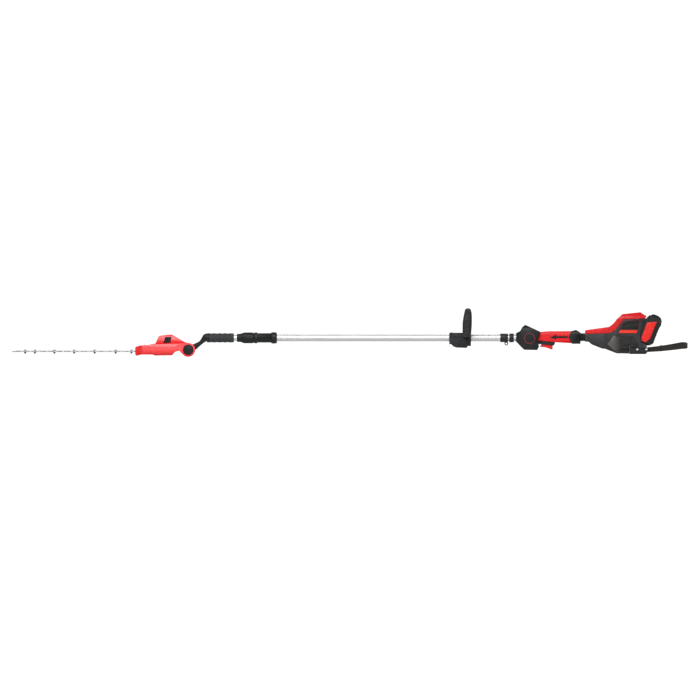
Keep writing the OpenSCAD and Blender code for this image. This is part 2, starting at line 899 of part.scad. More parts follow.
battery_outline = [[0, 0], [0, 60], [8, 78], [24, 90], [44, 90], [57, 85], [65, 74], [65.5, -19],
    [61, -26.5], [48, -34], [17, -33]];
battery_front = [[battery_half - 8, 90], [battery_half, 78], [battery_half, -28], [battery_half - 4, -35]];
base_t = 14;
cell_pitch = 2 * cell_r + 0.4;
cells_low = -24.5;
latch_low = 50;
latch_high = 66;

module battery_solid() {
    intersection() {
        side_plate(battery_outline, battery_half);
        front_block(battery_front);
    }
}

module battery_case() {
    color("#17191b") at_dock() difference() {
        battery_solid();
        block([-1, -big, -big], [base_t, big, big]);
        block([base_t - 1, -battery_half + 3, cells_low],
            [base_t + 2 * cell_pitch, battery_half - 3, cells_low + 5 * cell_pitch]);
        block([58, -12 - gap, latch_low - gap], [70, 12 + gap, latch_high + gap]);
        for (i = [0:5])
            block([64, -big, -12 + i * 9], [70, big, -8 + i * 9]);
    }
}

module battery_base() {
    color("#1d2022") at_dock() difference() {
        battery_solid();
        block([base_t, -big, -big], [big, big, big]);
        block([-1, -11 - gap, -big], [6.2, 11 + gap, 46]);
    }
}

module battery_cells() {
    color("#3c6ea0") at_dock() for (row = [0:1], i = [0:4])
        translate([base_t + (row + 0.5) * cell_pitch, 0, cells_low + (i + 0.5) * cell_pitch])
            bar_y(-battery_half + 4, battery_half - 4, cell_r);
}

module battery_labels() {
    color("#e0252b") at_dock() on_both_sides([[12, 49], [46, 66], [46, -7], [37, -20], [36, -27],
        [19, -27], [12, -14]], battery_half, panel_t);
}

module battery_latch() {
    color("#2b2e30") at_dock() block([61.5, -12, latch_low], [67, 12, latch_high]);
}

// ---- Hand strap ----

// Places strap geometry, whose X runs along the rising strap
module at_strap() {
    translate([strap_x, 0, strap_z]) rotate([0, -strap_rise, 0]) children();
}

// Racetrack outline of the strap's loop, seen from above
module strap_outline(y) {
    far = strap_len - strap_y - strap_t;
    translate([0, -y]) square([far, 2 * y]);
    translate([far, 0]) circle(r = y);
}

module strap() {
    color("#1c1917") at_strap() translate([0, 0, -strap_w / 2]) linear_extrude(strap_w) difference() {
        strap_outline(strap_y + strap_t);
        strap_outline(strap_y);
    }
}

module strap_keeper() {
    mid = -strap_y - strap_t / 2;
    in_y = strap_t / 2 + gap;
    in_z = strap_w / 2 + gap;
    color("#101112") at_strap() difference() {
        block([50, mid - in_y - 1.5, -in_z - 2], [59, mid + in_y + 1.5, in_z + 2]);
        block([49, mid - in_y, -in_z], [60, mid + in_y, in_z]);
    }
}

outer_tube();
inner_tube();
twist_base();
collet();
twist_collar();
power_lead();
arm();
arm_sleeve();
head_near();
head_far();
head_labels();
hub_pin();
release_button();
gear_tray();
gear_lid();
motor();
motor_pinion();
crank_gear();
upper_blade();
lower_blade();
guide_bar();
blade_bolts();
blade_nuts();
handle_loop();
handle_clamp();
handle_bolts();
harness_collar();
harness_ring();
harness_screws();
control_near();
control_far();
badge_rings();
lock_off();
trigger_surround();
trigger();
trigger_pin();
switch();
grip_near();
grip_far();
grip_inlays();
rear_collar();
neck_bellows();
housing_near();
housing_far();
top_cover();
side_panels();
side_stripes();
vent_grilles();
controller();
terminal_block();
foot();
foot_bolts();
battery_case();
battery_base();
battery_cells();
battery_labels();
battery_latch();
strap();
strap_keeper();
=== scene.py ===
"""Looks of the cordless pole hedge trimmer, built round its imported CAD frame."""
import json
import math

import bmesh
import bpy
from mathutils import Matrix, Vector
from mathutils.bvhtree import BVHTree


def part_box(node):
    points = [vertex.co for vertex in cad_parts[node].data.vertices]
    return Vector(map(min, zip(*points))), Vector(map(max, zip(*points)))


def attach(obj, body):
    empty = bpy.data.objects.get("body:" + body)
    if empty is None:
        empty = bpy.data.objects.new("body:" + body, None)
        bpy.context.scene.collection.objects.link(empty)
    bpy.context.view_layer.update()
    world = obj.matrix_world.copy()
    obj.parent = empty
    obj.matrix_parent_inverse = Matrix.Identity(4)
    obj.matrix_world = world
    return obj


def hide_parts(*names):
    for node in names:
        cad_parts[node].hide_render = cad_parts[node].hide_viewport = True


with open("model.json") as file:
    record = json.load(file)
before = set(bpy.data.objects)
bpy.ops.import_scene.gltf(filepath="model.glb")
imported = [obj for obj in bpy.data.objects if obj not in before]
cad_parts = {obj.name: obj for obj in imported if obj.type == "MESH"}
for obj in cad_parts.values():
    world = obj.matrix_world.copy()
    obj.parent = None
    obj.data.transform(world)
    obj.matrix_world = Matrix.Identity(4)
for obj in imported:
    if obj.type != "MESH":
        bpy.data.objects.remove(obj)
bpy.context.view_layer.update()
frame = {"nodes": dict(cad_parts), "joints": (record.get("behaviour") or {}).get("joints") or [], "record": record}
scene = bpy.context.scene
NODES = frame["nodes"]
SLOT_OF = {row["node"]: row["material_slot"] for row in frame["record"]["subparts"]}
BODY_OF = {node: body for body, nodes in frame["record"]["behaviour"]["bodies"].items() for node in nodes}
JOINTS = {joint["name"]: joint for joint in frame["joints"]}
MM = 0.001

# Landmarks, all read from the frame
hub = Vector(JOINTS["head_tilt"]["pos_m"])
tube_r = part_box("outer_tube")[1].z
clamp_top = tube_r + 0.0065
yoke_top = clamp_top + 0.0008
rear_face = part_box("foot")[1].x


# ---------------------------------------------------------------- materials

class Shader:
    """A Principled material with short helpers for its node graph."""

    def __init__(self, name, roughness, metallic=0.0):
        self.mat = bpy.data.materials.new(name)
        self.mat.use_nodes = True
        self.nodes = self.mat.node_tree.nodes
        self.links = self.mat.node_tree.links
        self.bsdf = self.nodes["Principled BSDF"]
        self.bsdf.inputs["Roughness"].default_value = roughness
        self.bsdf.inputs["Metallic"].default_value = metallic
        self.coords = self.nodes.new("ShaderNodeTexCoord")

    def noise(self, scale, stretch=(1, 1, 1), detail=3.0):
        """Noise whose features are about 1 / scale metres across."""
        mapping = self.nodes.new("ShaderNodeMapping")
        mapping.inputs["Scale"].default_value = stretch
        self.links.new(self.coords.outputs["Object"], mapping.inputs["Vector"])
        noise = self.nodes.new("ShaderNodeTexNoise")
        noise.inputs["Scale"].default_value = scale
        noise.inputs["Detail"].default_value = detail
        self.links.new(mapping.outputs["Vector"], noise.inputs["Vector"])
        return noise.outputs["Fac"]

    def ranged(self, value, low, high, to_low, to_high):
        """Maps low..high to to_low..to_high, clamped."""
        node = self.nodes.new("ShaderNodeMapRange")
        for key, number in zip(("From Min", "From Max", "To Min", "To Max"), (low, high, to_low, to_high)):
            node.inputs[key].default_value = number
        self.links.new(value, node.inputs["Value"])
        return node.outputs["Result"]

    def times(self, a, b):
        node = self.nodes.new("ShaderNodeMath")
        node.operation = "MULTIPLY"
        self.links.new(a, node.inputs[0])
        self.links.new(b, node.inputs[1])
        return node.outputs["Value"]

    def parts(self, output):
        """X, Y and Z of one of the object's own coordinates."""
        node = self.nodes.new("ShaderNodeSeparateXYZ")
        self.links.new(self.coords.outputs[output], node.inputs["Vector"])
        return node.outputs

    def plus(self, a, b):
        node = self.nodes.new("ShaderNodeMath")
        node.operation = "ADD"
        self.links.new(a, node.inputs[0])
        self.links.new(b, node.inputs[1])
        return node.outputs["Value"]

    def inside(self, outline, soft=0.0005):
        """1 inside a convex outline of X and Z in metres, listed anticlockwise, and 0 outside it."""
        mask = None
        for (x0, z0), (x1, z1) in zip(outline, outline[1:] + outline[:1]):
            inward = Vector((z0 - z1, 0, x1 - x0)).normalized()
            node = self.nodes.new("ShaderNodeVectorMath")
            node.operation = "DOT_PRODUCT"
            node.inputs[1].default_value = inward
            self.links.new(self.coords.outputs["Object"], node.inputs[0])
            edge = inward.dot(Vector((x0, 0, z0)))
            step = self.ranged(node.outputs["Value"], edge - soft, edge + soft, 0.0, 1.0)
            mask = step if mask is None else self.times(mask, step)
        return mask

    def mixed(self, factor, a, b):
        """Mixes two colours, each a tuple or a socket."""
        node = self.nodes.new("ShaderNodeMix")
        node.data_type = "RGBA"
        self.links.new(factor, node.inputs["Factor"])
        for value, socket in ((a, node.inputs["A"]), (b, node.inputs["B"])):
            if isinstance(value, tuple):
                socket.default_value = (*value, 1.0)
            else:
                self.links.new(value, socket)
        return node.outputs["Result"]

    def colour(self, socket):
        self.links.new(socket, self.bsdf.inputs["Base Color"])

    def rough(self, socket):
        self.links.new(socket, self.bsdf.inputs["Roughness"])

    def bump(self, height, distance):
        node = self.nodes.new("ShaderNodeBump")
        node.inputs["Distance"].default_value = distance
        self.links.new(height, node.inputs["Height"])
        self.links.new(node.outputs["Normal"], self.bsdf.inputs["Normal"])

    def edges(self):
        """Worn, raised edges, broken up by noise."""
        geometry = self.nodes.new("ShaderNodeNewGeometry")
        raised = self.ranged(geometry.outputs["Pointiness"], 0.515, 0.60, 0.0, 1.0)
        patches = self.ranged(self.noise(60), 0.42, 0.62, 0.25, 1.0)
        return self.times(raised, patches)


def scaled(base, factor):
    return tuple(min(1.0, channel * factor) for channel in base)


def moulded(name, base, roughness=0.5, grain=1400, depth=0.00005, coat=0.0, specular=0.3, wear=1.5):
    """Moulded plastic or rubber: spark grain, soft shade changes, and worn edges of their own colour."""
    s = Shader(name, roughness)
    s.bsdf.inputs["Specular IOR Level"].default_value = specular
    s.bsdf.inputs["Coat Weight"].default_value = coat
    s.bsdf.inputs["Coat Roughness"].default_value = 0.2
    cloudy = s.ranged(s.noise(14, detail=5), 0.35, 0.65, 0.0, 1.0)
    body = s.mixed(cloudy, scaled(base, 0.94), scaled(base, 1.04))
    worn = tuple(min(1.0, channel * wear + 0.01) for channel in base)
    s.colour(s.mixed(s.edges(), body, worn))
    s.rough(s.ranged(s.noise(90, detail=4), 0.3, 0.7, roughness - 0.04, roughness + 0.04))
    s.bump(s.noise(grain, detail=2), depth)
    return s.mat


def red_with_painted_sheen(name, face, shaded_red):
    """Semi-gloss red moulding with painted light: a lighter face colour is a painted sheen on the upper faces
    turned to the side, and a deep red is painted shade towards its underside and along its edges.
    """
    s = Shader(name, 0.34)
    s.bsdf.inputs["Specular IOR Level"].default_value = 0.5
    s.bsdf.inputs["Coat Weight"].default_value = 0.25
    s.bsdf.inputs["Coat Roughness"].default_value = 0.2
    place = s.parts("Object")
    # Painted shade by height: 0 towards the underside, 1 from just above the hub up
    height = s.ranged(place["Z"], hub.z - 0.018, hub.z + 0.002, 0.0, 1.0)
    squared = s.times(s.parts("Normal")["Y"], s.parts("Normal")["Y"])
    sheen_facing = s.ranged(squared, 0.55, 0.93, 0.0, 1.0)
    cloudy = s.ranged(s.noise(14, detail=5), 0.35, 0.65, 0.0, 1.0)
    body = s.mixed(cloudy, scaled(face, 0.96), face)
    # The face colour, a painted sheen, shows on upper faces turned to the side; elsewhere the deep red is painted
    # shade
    s.colour(s.mixed(s.times(height, sheen_facing), shaded_red, body))
    s.rough(s.ranged(s.noise(90, detail=4), 0.3, 0.7, 0.3, 0.38))
    s.bump(s.noise(1500, detail=2), 0.00003)
    return s.mat


def casing(name, base, panel, flank_sheen, outline):
    """Moulded casing with a smooth field inside an outline: a little proud, with a painted sheen of brownish grey
    at its front that fades into the field's own colour.
    """
    s = Shader(name, 0.5)
    s.bsdf.inputs["Specular IOR Level"].default_value = 0.4
    field = s.inside(outline)
    cloudy = s.ranged(s.noise(14, detail=5), 0.35, 0.65, 0.0, 1.0)
    body = s.mixed(cloudy, scaled(base, 0.94), scaled(base, 1.04))
    worn = s.mixed(s.edges(), body, scaled(base, 2.6))
    # Painted sheen: the flank colour lies on the field's front and fades to the panel colour 10 to 55 mm behind it
    front = min(x for x, z in outline)
    sheen_from, sheen_to = front + 0.010, front + 0.055
    along = s.ranged(s.parts("Object")["X"], sheen_from, sheen_to, 0.0, 1.0)
    s.colour(s.mixed(field, worn, s.mixed(along, flank_sheen, panel)))
    s.rough(s.ranged(field, 0.0, 1.0, 0.52, 0.3))
    grain = s.ranged(s.noise(1200, detail=2), 0.0, 1.0, 0.0, 0.12)
    s.bump(s.plus(field, grain), 0.0005)
    return s.mat


def drawn_metal(name, base, roughness, stretch, scratches=0.00002, tarnish=0.85):
    """Metal with fine lines; stretch gives the lines' direction by its smallest number."""
    s = Shader(name, roughness, metallic=1.0)
    lines = s.noise(1.0, stretch, detail=4)
    stains = s.ranged(s.noise(22, detail=6), 0.38, 0.68, 0.0, 1.0)
    body = s.mixed(stains, scaled(base, 1.0), scaled(base, tarnish))
    s.colour(s.mixed(s.ranged(lines, 0.3, 0.7, 0.0, 0.5), body, scaled(base, 0.8)))
    s.rough(s.ranged(lines, 0.3, 0.7, roughness - 0.06, roughness + 0.1))
    s.bump(lines, scratches)
    return s.mat


# Bands per unit that a wave texture makes at scale 1
WAVE_BANDS = 3.1


def woven(name, base):
    """Webbing: fine threads both ways on the strap's UV map, which is in metres."""
    s = Shader(name, 0.9)
    s.bsdf.inputs["Sheen Weight"].default_value = 0.25
    s.bsdf.inputs["Sheen Roughness"].default_value = 0.5
    height = None
    for direction, threads in (("X", 900), ("Y", 640)):
        wave = s.nodes.new("ShaderNodeTexWave")
        wave.bands_direction = direction
        wave.inputs["Scale"].default_value = threads / WAVE_BANDS
        wave.inputs["Distortion"].default_value = 0.6
        s.links.new(s.coords.outputs["UV"], wave.inputs["Vector"])
        height = wave.outputs["Fac"] if height is None else s.times(height, wave.outputs["Fac"])
    fuzz = s.ranged(s.noise(500, detail=4), 0.3, 0.7, 0.0, 1.0)
    dark = s.mixed(fuzz, scaled(base, 0.6), scaled(base, 1.5))
    s.colour(s.mixed(height, dark, scaled(base, 2.2)))
    s.rough(s.ranged(fuzz, 0.0, 1.0, 0.8, 0.95))
    s.bump(height, 0.0003)
    return s.mat


BLACK = (0.0075, 0.0082, 0.009)
ALONG_POLE = (24, 2600, 2600)
ACROSS_BLADE = (1700, 60, 1700)
housing_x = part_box("housing_near")[0].x
CASING_FIELD = [(housing_x + x * MM, z * MM) for x, z in
                ((112, 6), (89, -24), (126, -58), (200, -52), (214, -22), (193, 9))]
MATERIALS = {
    "tube": drawn_metal("tube", (0.74, 0.74, 0.75), 0.5, ALONG_POLE, 0.00001, 0.96),
    "inner_tube": drawn_metal("inner_tube", (0.8, 0.8, 0.81), 0.36, ALONG_POLE, 0.00001, 0.95),
    "hard_black": moulded("hard_black", BLACK, 0.46, 1300, 0.00006, wear=3.0),
    "soft_grey": moulded("soft_grey", (0.028, 0.032, 0.034), 0.68, 1000, 0.0001, specular=0.4, wear=1.7),
    "lead_black": moulded("lead_black", (0.01, 0.01, 0.01), 0.5, 500, 0.00005),
    # The head's lighter face colour is a painted sheen, and its deep red is painted shade on the underside and
    # edges
    "head_red": red_with_painted_sheen("head_red", (0.97, 0.068, 0.072), (0.84, 0.004, 0.006)),
    "label_black": moulded("label_black", (0.004, 0.0045, 0.005), 0.28, 600, 0.00002, wear=2.0),
    "button_black": moulded("button_black", (0.009, 0.008, 0.0085), 0.42, 1100, 0.00005, wear=3.0),
    "cast_metal": moulded("cast_metal", (0.25, 0.25, 0.26), 0.5, 500, 0.00012),
    "motor_steel": drawn_metal("motor_steel", (0.25, 0.25, 0.26), 0.4, (1200, 1200, 40)),
    "gear_steel": drawn_metal("gear_steel", (0.5, 0.5, 0.51), 0.3, (900, 900, 60)),
    "blade_steel": drawn_metal("blade_steel", (0.52, 0.53, 0.54), 0.4, ACROSS_BLADE, 0.00003, 0.7),
    "bolt_red": moulded("bolt_red", (0.16, 0.006, 0.012), 0.35, 700, 0.00004, coat=0.2, wear=2.2),
    "bolt_steel": drawn_metal("bolt_steel", (0.62, 0.63, 0.64), 0.3, (700, 700, 700)),
    "loop_rubber": moulded("loop_rubber", (0.011, 0.012, 0.013), 0.62, 800, 0.00012, specular=0.4,
                           wear=2.0),
    "grip_red": moulded("grip_red", (0.74, 0.006, 0.010), 0.42, 1200, 0.00005, wear=1.1),
    "badge_red": moulded("badge_red", (0.78, 0.008, 0.012), 0.34, 1200, 0.00003, wear=1.1),
    "ring_red": moulded("ring_red", (0.2, 0.018, 0.02), 0.35, 900, 0.00003, coat=0.2, wear=1.6),
    "switch_grey": moulded("switch_grey", (0.05, 0.052, 0.055), 0.5),
    "neck_rubber": moulded("neck_rubber", (0.012, 0.0125, 0.013), 0.65, 900, 0.0001),
    # casing_grey's brownish third colour is a painted sheen on the front of the field
    "casing_grey": casing("casing_grey", (0.017, 0.0185, 0.020), (0.008, 0.0072, 0.007),
                          (0.115, 0.10, 0.09), CASING_FIELD),
    "cover_red": moulded("cover_red", (0.66, 0.005, 0.008), 0.36, 1500, 0.00003, coat=0.08, wear=1.1),
    "stripe_orange": moulded("stripe_orange", (0.86, 0.035, 0.012), 0.35, 900, 0.00002, wear=1.1),
    "board_green": moulded("board_green", (0.02, 0.12, 0.04), 0.4),
    "contact_brass": drawn_metal("contact_brass", (0.7, 0.5, 0.2), 0.35, (900, 60, 900)),
    "battery_black": moulded("battery_black", (0.007, 0.0075, 0.008), 0.5, 1100, 0.00006, wear=3.2),
    "cell_blue": moulded("cell_blue", (0.04, 0.15, 0.35), 0.35),
    "label_red": moulded("label_red", (0.82, 0.018, 0.014), 0.3, 900, 0.00002, wear=1.1),
    "webbing": woven("webbing", (0.012, 0.0095, 0.0085)),
    "keeper_black": moulded("keeper_black", (0.005, 0.005, 0.0055), 0.4, 900, 0.00004, wear=3.0),
}
for node, obj in NODES.items():
    obj.data.materials.clear()
    obj.data.materials.append(MATERIALS[SLOT_OF[node]])


# ---------------------------------------------------------------- mesh helpers

def finished(name, bm, slot, body, smooth=32):
    """Turns a bmesh into a piece with its material, riding on a body."""
    bmesh.ops.recalc_face_normals(bm, faces=bm.faces)
    mesh = bpy.data.meshes.new(name)
    bm.to_mesh(mesh)
    bm.free()
    for face in mesh.polygons:
        face.use_smooth = True
    mesh.set_sharp_from_angle(angle=math.radians(smooth))
    piece = bpy.data.objects.new(name, mesh)
    scene.collection.objects.link(piece)
    mesh.materials.append(MATERIALS[slot])
    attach(piece, body)
    return piece


def sharp_edges(bm, degrees):
    """Outer edges between faces that differ by more than so many degrees."""
    return [e for e in bm.edges if len(e.link_faces) == 2 and e.is_convex
            and e.calc_face_angle(0) > math.radians(degrees)]


def rounded(bm, edges, width, segments):
    if edges:
        bmesh.ops.bevel(bm, geom=edges, offset=width, segments=segments, profile=0.5, affect="EDGES",
                        clamp_overlap=True)


def clean_copy(node):
    """The node's mesh as a bmesh with its flat faces joined up again."""
    bm = bmesh.new()
    bm.from_mesh(NODES[node].data)
    bmesh.ops.remove_doubles(bm, verts=bm.verts, dist=1e-6)
    bmesh.ops.dissolve_limit(bm, angle_limit=math.radians(0.5), verts=bm.verts, edges=bm.edges)
    return bm


def away_from(bm, edges, reach):
    """The edges that touch no edge shorter than reach."""
    short = {v for e in bm.edges if e.calc_length() < reach for v in e.verts}
    return [e for e in edges if not (e.verts[0] in short or e.verts[1] in short)]


def softened(node, width):
    """Replaces a moulded CAD shell by the same shell with rounded edges.
    Long edges get the full width, and edges beside short ones a fine width."""
    fine = min(0.0004, width / 3)
    bm = clean_copy(node)
    rounded(bm, away_from(bm, sharp_edges(bm, 14), 2.4 * width), width, 3)
    rounded(bm, away_from(bm, sharp_edges(bm, 35), 3.0 * fine), fine, 2)
    piece = finished(node + "_skin", bm, SLOT_OF[node], BODY_OF[node], 40)
    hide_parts(node)
    return piece


def ring_mesh(rings):
    """Skin over rings of equal length, closed at both ends."""
    bm = bmesh.new()
    rows = [[bm.verts.new(p) for p in ring] for ring in rings]
    count = len(rows[0])
    for a, b in zip(rows, rows[1:]):
        for i in range(count):
            j = (i + 1) % count
            bm.faces.new((a[i], a[j], b[j], b[i]))
    bm.faces.new(rows[0])
    bm.faces.new(rows[-1])
    return bm


def turned(axis_point, axis, profile, count=64, shape=None):
    """Lathe mesh: profile is a list of (distance along the axis, radius); shape bends the radius."""
    axis = Vector(axis).normalized()
    side = axis.orthogonal().normalized()
    other = axis.cross(side)
    rings = []
    for along, radius in profile:
        ring = []
        for i in range(count):
            a = 2 * math.pi * i / count
            r = radius + (shape(along, a) if shape else 0)
            ring.append(Vector(axis_point) + axis * along + (side * math.cos(a) + other * math.sin(a)) * r)
        rings.append(ring)
    return ring_mesh(rings)


def screw_head(bm_out, centre, axis, radius):
    """Pan head with a hexagon socket, added to bm_out."""
    axis = Vector(axis).normalized()
    side = axis.orthogonal().normalized()
    other = axis.cross(side)
    sides = 24
    profile = [(0.0, radius), (0.35 * radius, radius), (0.5 * radius, 0.86 * radius),
               (0.5 * radius, 0.56 * radius), (0.12 * radius, 0.5 * radius)]
    rows = []
    for along, r in profile:
        inner = r < 0.6 * radius
        row = []
        for i in range(sides):
            a = 2 * math.pi * i / sides
            flat = math.cos(math.pi / 6) / math.cos((a % (math.pi / 3)) - math.pi / 6) if inner else 1.0
            row.append(bm_out.verts.new(Vector(centre) + axis * along
                                        + (side * math.cos(a) + other * math.sin(a)) * r * flat))
        rows.append(row)
    for a_row, b_row in zip(rows, rows[1:]):
        for i in range(sides):
            j = (i + 1) % sides
            bm_out.faces.new((a_row[i], a_row[j], b_row[j], b_row[i]))
    bm_out.faces.new(rows[0])
    bm_out.faces.new(rows[-1])


# ---------------------------------------------------------------- shells with rounded edges

SOFT_EDGES = {
    "head_near": 0.0026, "head_far": 0.0026,
    "control_near": 0.003, "control_far": 0.003,
    "grip_near": 0.0032, "grip_far": 0.0032,
    "rear_collar": 0.003, "trigger_surround": 0.0014, "trigger": 0.0022,
    "housing_near": 0.0028, "housing_far": 0.0028, "top_cover": 0.0034,
    "battery_case": 0.0022, "battery_base": 0.0022, "battery_latch": 0.0012,
    "foot": 0.002, "handle_clamp": 0.0025,
    "side_panels": 0.0003, "side_stripes": 0.0003, "battery_labels": 0.0003, "head_labels": 0.0003,
    "badge_rings": 0.0003, "grip_inlays": 0.0003, "strap_keeper": 0.0005, "vent_grilles": 0.0004,
    "twist_collar": 0.0007, "twist_base": 0.0008, "harness_collar": 0.0009, "harness_ring": 0.0009,
    "release_button": 0.0008, "hub_pin": 0.0006, "neck_bellows": 0.0006, "lock_off": 0.0006,
}
SKINS = {shell: softened(shell, edge_width) for shell, edge_width in SOFT_EDGES.items()}


# ---------------------------------------------------------------- arm and its sleeve

def section(centre, along, half_width, half_height, count=48, power=2.4):
    """Rounded section across the direction along, which lies in the XZ plane."""
    up = Vector((-along.z, 0, along.x)).normalized()
    ring = []
    for i in range(count):
        a = 2 * math.pi * i / count
        c, s = math.cos(a), math.sin(a)
        ring.append(centre + Vector((0, 1, 0)) * (math.copysign(abs(c) ** (2 / power), c) * half_width)
                    + up * (math.copysign(abs(s) ** (2 / power), s) * half_height))
    return ring


def smooth_rows(rows, steps):
    """Catmull-Rom rows of numbers, with steps points from each row to the next."""
    out = []
    for i in range(len(rows) - 1):
        p = [rows[max(0, i - 1)], rows[i], rows[i + 1], rows[min(len(rows) - 1, i + 2)]]
        for k in range(steps):
            t = k / steps
            out.append([0.5 * (2 * b + (c - a) * t + (2 * a - 5 * b + 4 * c - d) * t * t
                               + (3 * b - a - 3 * c + d) * t ** 3) for a, b, c, d in zip(*p)])
    out.append(list(rows[-1]))
    return out


def build_arm():
    """Goose neck from the round sleeve down to the tongue between the head's ears."""
    # X and Z from the hub, half width, half height, and squareness, in millimetres
    stations = smooth_rows([[90, 48, 14.8, 14.8, 2], [84, 48, 15.5, 15.5, 2], [83, 48, 18.6, 18.6, 2],
                            [77, 48, 18.6, 18.4, 2.1], [72.5, 47.7, 17.9, 17.4, 2.2],
                            [69.5, 46.8, 17.2, 16.4, 2.4], [66, 44.3, 16.3, 13.2, 2.6],
                            [58, 36.3, 14.9, 9.6, 3], [50, 28.5, 14.8, 8.2, 3.4], [39, 21, 14.8, 9.4, 4],
                            [27, 13, 14.8, 12, 5], [12, 5, 14.8, 15, 6], [2, 1, 14.8, 16, 6]], 5)
    points = [hub + Vector((row[0], 0, row[1])) * MM for row in stations]
    rings = []
    for i, row in enumerate(stations):
        along = points[max(0, i - 1)] - points[min(len(points) - 1, i + 1)]
        rings.append(section(points[i], -along.normalized(), row[2] * MM, row[3] * MM, power=row[4]))
    arm = finished("arm_neck", ring_mesh(rings), "hard_black", "slider", 50)
    half, boss_r, pin_r, rim = 0.0149, 0.019, 0.006, 0.0012
    boss = turned(hub - Vector((0, half, 0)), (0, 1, 0),
                  [(0, pin_r), (0, boss_r - rim), (rim, boss_r), (2 * half - rim, boss_r),
                   (2 * half, boss_r - rim), (2 * half, pin_r)])
    finished("arm_boss", boss, "hard_black", "slider")
    core_low, core_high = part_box("arm_sleeve")
    reach = core_high.x - core_low.x
    core_r, bore_r = 0.015, 0.0125
    core = turned((core_low.x, 0, 0), (1, 0, 0),
                  [(0, bore_r), (0, core_r), (reach, core_r), (reach, bore_r)])
    finished("arm_core", core, "hard_black", "slider")
    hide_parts("arm")


def build_sleeve():
    """Soft sleeve with a wavy outline and raised lozenges."""
    low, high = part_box("arm_sleeve")
    bare_end, bore_r, steps = 0.009, 0.0152, 150
    wave, waist_depth = 0.0215, 0.0007
    lozenges, lozenge_depth, lozenge_slope = 9, 0.0006, 4
    rim, fade = 0.0015, 0.006
    start, end, top = low.x + bare_end, high.x, high.z
    length = end - start
    profile = [(0.0, bore_r), (0.0, top - 0.0022), (0.0008, top - 0.001)]
    profile += [(0.002 + (length - 0.004) * i / steps, top) for i in range(steps + 1)]
    profile += [(length - 0.0008, top - 0.001), (length, top - 0.0025), (length, bore_r)]

    def shape(along, angle):
        inside = min(along, length - along) - rim
        if inside < 0:
            return 0.0
        turn = 2 * math.pi * along / wave
        waist = waist_depth * (1 - math.cos(turn))
        lozenge = math.sin(lozenges * angle + turn) * math.sin(lozenges * angle - turn)
        raised = max(-1.0, min(1.0, lozenge_slope * lozenge))
        return -min(1.0, inside / fade) * (waist + lozenge_depth * (0.5 - 0.5 * raised))

    sleeve = finished("arm_sleeve_skin", turned((start, 0, 0), (1, 0, 0), profile, 144, shape),
                      "soft_grey", "slider", 60)
    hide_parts("arm_sleeve")


build_arm()
build_sleeve()


# ---------------------------------------------------------------- ground blades

def ground_blade(node, top_is_cut, first, pitch):
    """The blade with a ground bevel on the flanks and ends of its teeth.
    first is how far the first tooth's middle lies in front of the hub."""
    bm = clean_copy(node)
    low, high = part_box(node)
    cut_z = high.z if top_is_cut else low.z
    root, bevel, tip = 0.0118, 0.0016, high.y - 0.001
    for v in bm.verts:
        if abs(v.co.z - cut_z) > 1e-5 or abs(v.co.y) < root:
            continue
        ahead = hub.x - v.co.x
        middle = first + round((ahead - first) / pitch) * pitch
        v.co.x += bevel if ahead > middle else -bevel
        if abs(v.co.y) > tip:
            v.co.y -= math.copysign(bevel, v.co.y)
    piece = finished(node + "_ground", bm, "blade_steel", BODY_OF[node], 12)
    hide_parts(node)


PITCH = 0.033
FIRST_TOOTH = 0.241
ground_blade("upper_blade", True, FIRST_TOOTH, PITCH)
ground_blade("lower_blade", False, FIRST_TOOTH + PITCH / 2, PITCH)


# ---------------------------------------------------------------- loop handle

def between(rows, at):
    """Straight interpolation in rows of (place, value, value, ...)."""
    for a, b in zip(rows, rows[1:]):
        if at <= b[0]:
            t = max(0.0, (at - a[0]) / (b[0] - a[0]))
            return [p + (q - p) * t for p, q in zip(a[1:], b[1:])]
    return list(rows[-1][1:])


def loop_path(leg, top, bend):
    """Centre line of the loop in Y and Z: up one leg, over two bends and down the other."""
    foot_z, spacing, turns = 0.014, 0.0009, 16
    path = [Vector((0, -leg, foot_z)), Vector((0, -leg, top - bend))]
    for side, start in ((-1, math.pi), (1, math.pi / 2)):
        for i in range(1, turns + 1):
            a = start - i * math.pi / (2 * turns)
            path.append(Vector((0, side * (leg - bend) + bend * math.cos(a),
                                top - bend + bend * math.sin(a))))
    path.append(Vector((0, leg, foot_z)))
    steps = []
    for a, b in zip(path, path[1:]):
        count = max(1, round((b - a).length / spacing))
        steps += [a.lerp(b, k / count) for k in range(count)]
    return steps + [path[-1]]


